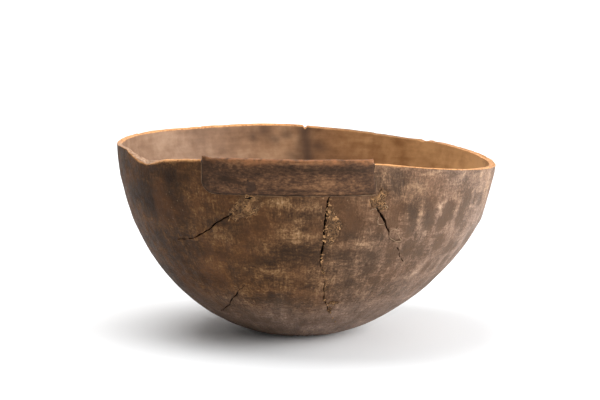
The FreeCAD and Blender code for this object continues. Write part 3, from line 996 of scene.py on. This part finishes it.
def scraping(points, radius, lift):
    """A thin curl of wood along a smooth line through points."""
    points = np.array(points)
    count = len(points)
    s = np.linspace(0, count - 1, 12 * count)
    flat = np.stack([np.interp(s, np.arange(count), points[:, k]) for k in (0, 1)], axis=1)
    for _ in range(6):
        flat[1:-1] = (flat[:-2] + 2 * flat[1:-1] + flat[2:]) / 4
    place = np.stack([flat[:, 0], 0 * flat[:, 0], flat[:, 1]], axis=1)
    flat += 0.5 * np.stack([noise(place, 2.4, 152), noise(place, 2.4, 153)], axis=1)
    point, normal = on_wall(flat[:, 0], flat[:, 1])
    return strand(point + normal * lift, normal, radius)


def bridges(name, count, radius, seed):
    """Crumbs caught in a crack and along its right-hand lip."""
    line, _ = crack_line(CRACKS[name])
    draw = np.random.default_rng(seed)
    made = []
    for place in draw.uniform(0, len(line) - 1, count):
        at = line[int(place)] + (place % 1) * (line[int(place) + 1] - line[int(place)])
        x = at[0] + draw.uniform(-0.3, 1.5)
        z = at[2] + draw.uniform(-0.5, 0.5)
        made += grains(plug_outline(x, z, 0.6, 0.6), 3, radius, int(draw.integers(10000)))
    return made


def fill_piece(name, parts, material, node, lumps=1, bridged=False):
    """One piece from lumps followed by loose fibres and crumbs, which may bridge the cracks."""
    mesh = new_mesh(name, *joined(parts))
    fibre = np.zeros(len(mesh.vertices))
    fibre[sum(len(part[0]) for part in parts[:lumps]):] = 1.0
    paint(mesh, "fibre", fibre)
    points = points_of(mesh)
    normals = normals_of(mesh)
    cut = crack_cut(points) * (points[:, 1] < front_y(OUTER, points[:, 0], points[:, 2]) + 1.5)
    lump_cut = cut * (fibre < 0.5)
    mesh.vertices.foreach_set("co", (points - normals * (1.2 * lump_cut)[:, None]).ravel())
    azimuth = azimuth_of(points)
    # Painted shade of the cracks under a fill: on its lumps, and on its fibres and crumbs too unless they
    # bridge the cracks.
    paint(mesh, "crack", lump_cut if bridged else cut)
    paint(mesh, "skin", skin_of(points, azimuth, 0 * azimuth) * MM)
    paint(mesh, "tone", painted_tone(points, azimuth))
    # Painted sheen and light, as on the bowl's outside.
    paint(mesh, "painted_sheen", painted_sheen_share(points, azimuth))
    finish_piece(name, mesh, material, node, sharp=70.0)


# Heaps of crumbs on the centre fill: x, z and reach.
CRUMB_HEAPS = ((18.6, 121.5, 2.0), (17.4, 116.5, 1.6), (21.5, 116.0, 2.0), (24.6, 110.5, 2.4),
               (19.5, 108.5, 2.6), (17.0, 103.0, 1.6), (18.6, 98.5, 2.0), (22.5, 103.5, 1.2))


def packed(outline, proud, grit, count, length, radius, lift, crumbs, seed):
    """A lump with count fibres and some crumbs over it."""
    made = [lump(outline, proud, 0.3, grit, seed)]
    made += fibres(outline, count, length, radius, lift, seed + 1)
    return made + grains(outline, crumbs, 0.4, seed + 2)


def make_fills(fibre_material, wood_material):
    left = packed(LEFT_FILL, 0.2, 0.2, 190, 6.5, 0.21, 0.5, 40, 111)
    fill_piece("left_fill", left, fibre_material, "left_crack_fill")
    right = packed(RIGHT_FILL, 0.2, 0.2, 100, 5.5, 0.21, 0.5, 24, 121)
    fill_piece("right_fill", right, fibre_material, "right_crack_fill")
    centre = packed(CENTRE_FILL, 0.1, 0.25, 30, 3.0, 0.2, 0.3, 40, 131)
    for i, (x, z, reach) in enumerate(CRUMB_HEAPS):
        centre += grains(plug_outline(x, z, reach, reach), int(14 * reach), 0.5, 191 + i)
    fill_piece("centre_fill", centre, fibre_material, "centre_crack_fill")
    plugs = [lump(plug_outline(*plug), 0.0, 0.3, 0.3, 141 + 4 * i, columns=40, rings=12)
             for i, plug in enumerate(PLUGS)]
    plugs += bridges("centre_upper", 60, 0.5, 181) + bridges("centre_lower", 60, 0.4, 182)
    for i, plug in enumerate(PLUGS):
        plugs += grains(plug_outline(*plug), int(4 * plug[2]), 0.45, 161 + i)
        plugs += fibres(plug_outline(*plug), int(3 * plug[2]), 3.5, 0.22, 0.4, 171 + i)
    fill_piece("crack_plugs", plugs, fibre_material, "centre_crack_plugs", len(PLUGS), True)
    flake = [lump(FLAKE, 0.15, 0.2, 0.1, 151, columns=80, rings=18)]
    flake += [scraping(line, 0.22, 0.25) for line in SCRAPINGS]
    fill_piece("flake_in_crack", flake, wood_material, "right_crack_flake")


# ---- Materials ----
class Value:
    """An output of a material's nodes, which adds and multiplies as a number does."""

    def __init__(self, shader, socket):
        self.shader = shader
        self.socket = socket

    def __add__(self, other):
        return self.shader.math("ADD", self, other)

    def __sub__(self, other):
        return self.shader.math("SUBTRACT", self, other)

    def __mul__(self, other):
        return self.shader.math("MULTIPLY", self, other)


def rgba(colour):
    return colour if isinstance(colour, Value) else (*colour, 1.0)


class Shader:
    """Short calls that add nodes to one material; each returns an output as a Value."""

    def __init__(self, name):
        self.material = bpy.data.materials.new(name)
        self.material.use_nodes = True
        self.tree = self.material.node_tree
        self.tree.nodes.clear()

    def node(self, kind, inputs=(), **settings):
        node = self.tree.nodes.new(kind)
        for key, value in settings.items():
            setattr(node, key, value)
        for key, value in dict(inputs).items():
            if isinstance(value, Value):
                self.tree.links.new(value.socket, node.inputs[key])
            else:
                node.inputs[key].default_value = value
        return node

    def output(self, kind, inputs=(), key=0, **settings):
        return Value(self, self.node(kind, inputs, **settings).outputs[key])

    def attribute(self, name, key="Fac"):
        return self.output("ShaderNodeAttribute", key=key, attribute_name=name)

    def place(self):
        return self.output("ShaderNodeTexCoord", key="Object")

    def stretched(self, vector, scale):
        return self.output("ShaderNodeMapping", {"Vector": vector, "Scale": scale})

    def noise(self, vector, scale, detail=4.0, roughness=0.55, distortion=0.0):
        inputs = {"Vector": vector, "Scale": scale, "Detail": detail, "Roughness": roughness,
                  "Distortion": distortion}
        return self.output("ShaderNodeTexNoise", inputs, "Fac")

    def cells(self, vector, scale):
        return self.output("ShaderNodeTexVoronoi", {"Vector": vector, "Scale": scale}, "Distance")

    def math(self, operation, a, b=0.0):
        return self.output("ShaderNodeMath", {0: a, 1: b}, operation=operation)

    def between(self, value, low, high, to_low=0.0, to_high=1.0):
        """value from low..high brought smoothly to to_low..to_high."""
        inputs = {"Value": value, "From Min": low, "From Max": high, "To Min": to_low, "To Max": to_high}
        return self.output("ShaderNodeMapRange", inputs, interpolation_type="SMOOTHSTEP")

    def mix(self, share, a, b):
        """Colour a where share is 0, and b where it is 1."""
        return self.output("ShaderNodeMix", {0: share, 6: rgba(a), 7: rgba(b)}, 2, data_type="RGBA")

    def ramp(self, value, stops):
        """A colour for each value, through stops of (value, colour)."""
        node = self.node("ShaderNodeValToRGB", {"Fac": value})
        while len(node.color_ramp.elements) < len(stops):
            node.color_ramp.elements.new(0.5)
        for element, (position, colour) in zip(node.color_ramp.elements, stops):
            element.position = position
            element.color = rgba(colour)
        return Value(self, node.outputs["Color"])

    def bump(self, height, strength, distance, **under):
        inputs = {"Height": height, "Strength": strength, "Distance": distance, **under}
        return self.output("ShaderNodeBump", inputs)

    def surface(self, colour, roughness, normal, specular):
        inputs = {"Base Color": colour, "Roughness": roughness, "Normal": normal,
                  "Specular IOR Level": specular}
        self.node("ShaderNodeOutputMaterial", {"Surface": self.output("ShaderNodeBsdfPrincipled", inputs)})
        return self.material


def shade(red, green, blue):
    """Linear colour from the usual 0 to 255 values."""
    parts = [c / 255 for c in (red, green, blue)]
    return tuple(c / 12.92 if c < 0.04045 else ((c + 0.055) / 1.055) ** 2.4 for c in parts)


# BLACK is painted shade, for the depths of cracks, gaps and holes.
BLACK = shade(14, 9, 6)
DARKEST = shade(46, 30, 18)
DARK = shade(64, 43, 26)
BROWN = shade(94, 65, 40)
TAN = shade(142, 106, 70)
PALE = shade(190, 158, 122)
MAUVE = shade(131, 109, 96)
# ORANGE is the rim's bare worn wood, made brighter as a painted highlight of the window along the edge.
ORANGE = shade(216, 156, 102)


def old_wood():
    """The bowl's wood; each look is worked out apart and laid over the one before."""
    s = Shader("old_wood")
    place = s.place()
    skin = s.attribute("skin", "Vector")
    side = s.attribute("side")
    patches = s.noise(place, 190.0, detail=5.0, roughness=0.68)
    crumbs = s.noise(place, 620.0, roughness=0.7)
    strokes = s.noise(s.stretched(skin, (1.0, 1.0, 0.18)), 540.0, 3.0, 0.6, 0.5)
    crossing = s.noise(s.stretched(skin, (0.2, 0.2, 1.0)), 430.0, 3.0, 0.6, 0.5)

    polish = polished_outside(s, place, skin, patches, crumbs, strokes, crossing)
    colour = s.mix(s.between(side, 0.45, 0.75), polish, hollow_colour(s, place, skin))

    # The worn rim shows bare orange wood, brightened as a painted highlight where its edge catches the
    # window, and paler and raw where it is broken.
    bare = s.attribute("worn") * s.between(s.noise(place, 150.0), 0.25, 0.5, 0.6, 1.0)
    worn = s.mix(s.between(s.noise(place, 420.0), 0.45, 0.7), ORANGE, shade(166, 108, 64))
    raw = s.mix(s.between(crumbs, 0.4, 0.62), shade(150, 112, 84), shade(200, 166, 138))
    worn = s.mix(s.attribute("broken") * s.between(side, 0.15, 0.3), worn, raw)
    colour = s.mix(bare, colour, worn)
    # Painted shade in the cracks and gaps.
    colour = s.mix(s.attribute("crack"), colour, BLACK)
    colour = s.mix(s.attribute("fibre"), colour, shade(150, 124, 98))

    outside = s.between(side, 0.45, 0.75, 1.0, 0.12)
    fine = s.bump(strokes * 0.6 + crossing * 0.6, outside * 0.6, 0.0007)
    pits = s.bump(crumbs, outside * 0.5, 0.0008, Normal=fine)
    normal = s.bump(patches, outside * 0.5, 0.0014, Normal=pits)
    return s.surface(colour, s.between(patches, 0.3, 0.7, 0.48, 0.68), normal, 0.09)


def polished_outside(s, place, skin, patches, crumbs, strokes, crossing):
    """Dark handling polish over brown wood, with paler worn bands and ridges, checks and dust; tone brings in
    painted shade on the left, and painted sheen and light go low down and towards the right.
    """
    blots = s.noise(place, 55.0, detail=5.0, roughness=0.6)
    lined = s.between(s.noise(place, 60.0, detail=2.0), 0.38, 0.6, 0.1, 0.5)
    crossed = s.between(s.noise(place, 48.0, detail=2.0), 0.4, 0.62, 0.1, 0.5)
    marks = s.between(s.attribute("mark"), 0.16, 0.50, 1.0, 0.0) * s.attribute("spotted")
    level = s.attribute("tone") * 0.15 + blots * 0.45 + patches * 0.50
    level = level + (strokes - 0.5) * lined + (crossing - 0.5) * crossed + crumbs * 0.62
    level = level - marks * 0.26 - 0.325
    colour = s.ramp(level, ((0.20, DARKEST), (0.36, DARK), (0.50, BROWN), (0.66, TAN), (0.88, PALE)))
    warmth = s.between(s.noise(place, 32.0, detail=3.0), 0.40, 0.66)
    colour = s.mix(warmth * 0.25, colour, shade(128, 82, 46))
    # Painted sheen and light: low down and towards the right, the colour goes to a paler grey brown.
    painted_sheen = s.ramp(level, ((0.34, shade(100, 81, 67)), (0.52, MAUVE), (0.78, shade(178, 154, 136))))
    colour = s.mix(s.attribute("painted_sheen"), colour, painted_sheen)

    checks = s.noise(s.stretched(skin, (1.0, 1.0, 0.45)), 130.0, 5.0, 0.6, 1.2)
    hairline = s.between(s.math("ABSOLUTE", checks - 0.5), 0.0, 0.012, 1.0, 0.0)
    checked = hairline * s.between(s.noise(place, 42.0, detail=2.0), 0.48, 0.6, 0.0, 0.6)
    colour = s.mix(checked, colour, DARKEST)
    clouded = s.noise(place, 26.0, detail=3.0)
    dust = s.between(s.cells(place, 210.0), 0.11, 0.07) * s.between(clouded, 0.5, 0.62, 0.0, 0.3)
    return s.mix(dust, colour, PALE)


def hollow_colour(s, place, skin):
    """Paler, smoother wood, blotched, and stained at the back; duller at the left and warmer at the right,
    which is painted light: the left wall faces the window, and the shaded right wall is painted as if lit by
    warm bounced light.
    """
    clouds = s.noise(place, 20.0)
    turned = s.noise(s.stretched(skin, (0.16, 0.16, 1.0)), 190.0)
    grime = s.noise(place, 75.0, detail=5.0, roughness=0.65)
    from_left = s.attribute("tone")
    light = clouds * 0.6 + turned * 0.3 + grime * 0.45
    dull = s.ramp(light, ((0.48, shade(108, 82, 64)), (0.66, shade(138, 108, 86)),
                          (0.86, shade(166, 136, 112))))
    # Painted light: the shaded far right of the hollow is brightened.
    light = light + s.between(from_left, 0.8, 1.05, 0.0, 0.3)
    warm = s.ramp(light, ((0.48, shade(114, 77, 46)), (0.68, shade(152, 108, 68)),
                          (0.98, shade(206, 158, 108))))
    # Painted light: dull colours towards the left wall, warm ones towards the right.
    colour = s.mix(s.between(from_left, 0.1, 0.85), dull, warm)
    return s.mix(s.attribute("stain") * 0.85, colour, shade(74, 56, 46))


def patch_wood():
    s = Shader("patch_wood")
    place = s.place()
    bands = s.noise(s.stretched(place, (0.07, 1.0, 1.0)), 380.0, 6.0, 0.7, 0.4)
    broad = s.noise(s.stretched(place, (0.22, 1.0, 1.0)), 110.0)
    blots = s.noise(place, 170.0, roughness=0.6)
    flecks = s.noise(s.stretched(place, (0.4, 1.0, 1.0)), 700.0, roughness=0.7)
    dark = s.attribute("dark")
    level = bands * 0.5 + broad * 0.45 + blots * 0.35 + flecks * 0.95 - dark * 0.15 - 0.56
    colour = s.ramp(level, ((0.34, DARKEST), (0.52, shade(74, 50, 34)), (0.68, shade(106, 74, 50)),
                            (0.90, shade(146, 106, 74))))
    within = s.between(s.attribute("knot"), 1.15, 0.75, 0.0, 0.85)
    colour = s.mix(within, colour, s.mix(flecks, shade(36, 24, 18), shade(74, 52, 38)))
    # Painted shade of the pin hole.
    colour = s.mix(s.attribute("pin"), colour, BLACK)
    # Painted shade along the board's ends and lower edge.
    colour = s.mix(s.attribute("edge") * s.between(blots, 0.35, 0.6, 0.9, 0.35), colour, DARKEST)
    bare = s.attribute("worn") * s.between(s.noise(place, 210.0), 0.3, 0.62, 0.15, 0.8)
    colour = s.mix(bare, colour, shade(160, 106, 68))
    colour = s.mix(dark * 0.25, colour, DARK)
    grain = s.bump(bands, 0.45, 0.0008)
    normal = s.bump(s.noise(place, 800.0, detail=2.0), 0.25, 0.0004, Normal=grain)
    return s.surface(colour, s.between(bands, 0.3, 0.7, 0.5, 0.66), normal, 0.15)


def gum():
    s = Shader("gum")
    place = s.place()
    lumps = s.noise(place, 260.0)
    colour = s.mix(s.between(lumps, 0.35, 0.65), shade(48, 34, 26), shade(104, 78, 56))
    pale = s.between(s.noise(place, 45.0, detail=2.0), 0.52, 0.68, 0.0, 0.6)
    colour = s.mix(pale, colour, shade(140, 108, 78))
    return s.surface(colour, 0.62, s.bump(lumps, 0.5, 0.0006), 0.3)


def fibre_fill():
    s = Shader("fibre_fill")
    place = s.place()
    fine = s.noise(place, 700.0)
    broad = s.noise(place, 190.0, detail=3.0)
    base = s.mix(s.between(fine, 0.35, 0.65), shade(58, 41, 27), shade(108, 78, 51))
    strands = s.mix(s.between(broad, 0.38, 0.62), shade(98, 69, 44), shade(172, 130, 88))
    colour = s.mix(s.attribute("fibre"), base, strands)
    # Painted shade of the cracks under the fill.
    colour = s.mix(s.attribute("crack"), colour, BLACK)
    return s.surface(colour, 0.78, s.bump(fine, 0.6, 0.0006), 0.2)


# ---- Stage, light and camera ----
def make_floor():
    """A pale sweep: level under the bowl, curving up far behind it."""
    width, near, depth, bend, height = 12.0, 9.0, 3.5, 1.2, 3.0
    profile = [(-near, 0.0), (depth, 0.0)]
    for k in range(1, 13):
        angle = 0.5 * math.pi * k / 12
        profile.append((depth + bend * math.sin(angle), bend * (1 - math.cos(angle))))
    profile.append((depth + bend, height))
    vertices = [(x, y, z) for y, z in profile for x in (-width, width)]
    faces = [(2 * i, 2 * i + 1, 2 * i + 3, 2 * i + 2) for i in range(len(profile) - 1)]
    mesh = bpy.data.meshes.new("floor")
    mesh.from_pydata(vertices, [], faces)
    mesh.polygons.foreach_set("use_smooth", [True] * len(faces))
    s = Shader("floor")
    mottle = s.noise(s.place(), 3.0, detail=2.0)
    colour = s.mix(mottle, (0.93, 0.93, 0.93), (0.96, 0.96, 0.96))
    mesh.materials.append(s.surface(colour, 0.9, s.bump(mottle, 0.02, 0.001), 0.1))
    floor = bpy.data.objects.new("floor", mesh)
    bpy.context.scene.collection.objects.link(floor)


def aim(item, position, target):
    x, y, z = np.array(target) - np.array(position)
    item.location = position
    item.rotation_euler = (math.atan2(math.hypot(x, y), -z), 0.0, math.atan2(y, x) - 0.5 * math.pi)


def area_light(name, position, target, size, power, colour=(1.0, 1.0, 1.0)):
    light = bpy.data.lights.new(name, "AREA")
    light.shape = "RECTANGLE"
    light.size, light.size_y = size
    light.energy = power
    light.color = colour
    item = bpy.data.objects.new(name, light)
    bpy.context.scene.collection.objects.link(item)
    aim(item, position, target)


ROOM_LEFT = 0.10             # brightness of the room's two sides
ROOM_RIGHT = 0.85


def make_light():
    """A white room, darker on the left, with one large window high at the right."""
    world = bpy.data.worlds.new("studio")
    world.use_nodes = True
    nodes, links = world.node_tree.nodes, world.node_tree.links
    direction = nodes.new("ShaderNodeTexCoord")
    parts = nodes.new("ShaderNodeSeparateXYZ")
    strength = nodes.new("ShaderNodeMapRange")
    for name, value in (("From Min", -1.0), ("From Max", 1.0), ("To Min", ROOM_LEFT), ("To Max", ROOM_RIGHT)):
        strength.inputs[name].default_value = value
    links.new(direction.outputs["Generated"], parts.inputs[0])
    links.new(parts.outputs["X"], strength.inputs["Value"])
    links.new(strength.outputs[0], nodes["Background"].inputs["Strength"])
    nodes["Background"].inputs["Color"].default_value = (1.0, 1.0, 1.0, 1.0)
    bpy.context.scene.world = world
    area_light("window", (1.7, -0.5, 0.6), (0.0, 0.0, 0.09), (1.7, 1.4), 58.0, (0.93, 0.97, 1.0))
    area_light("ceiling", (-0.4, 0.1, 1.6), (0.0, 0.0, 0.1), (1.3, 1.3), 24.0)
    area_light("backdrop", (0.0, 1.6, 2.6), (0.0, 4.6, 1.1), (3.5, 1.0), 130.0)
    bpy.context.scene.view_settings.view_transform = "Standard"


CAMERA_RISE = 8.93           # degrees above level
CAMERA_AWAY = 1.5
FRAME_WIDTH = 0.5082         # width of the view at the bowl's middle line, in metres
SENSOR = 36.0
AIM_LEFT = 0.0061
AIM_ABOVE = 0.0308
LOOK_HEIGHT = 0.080


def make_camera():
    """The camera looks a little left of and above the bowl, which stands low in the frame."""
    camera = bpy.data.cameras.new("camera")
    camera.sensor_width = SENSOR
    camera.lens = SENSOR * CAMERA_AWAY / FRAME_WIDTH
    item = bpy.data.objects.new("camera", camera)
    bpy.context.scene.collection.objects.link(item)
    rise = math.radians(CAMERA_RISE)
    target = (MIDDLE[0] * MM, MIDDLE[1] * MM, LOOK_HEIGHT)
    position = (target[0], target[1] - CAMERA_AWAY * math.cos(rise), target[2] + CAMERA_AWAY * math.sin(rise))
    aim(item, position, (target[0] - AIM_LEFT, target[1], target[2] + AIM_ABOVE))
    bpy.context.scene.camera = item


wood = old_wood()
make_bowl(wood)
make_patch(patch_wood())
make_gum(gum())
make_fills(fibre_fill(), wood)
make_floor()
make_light()
make_camera()
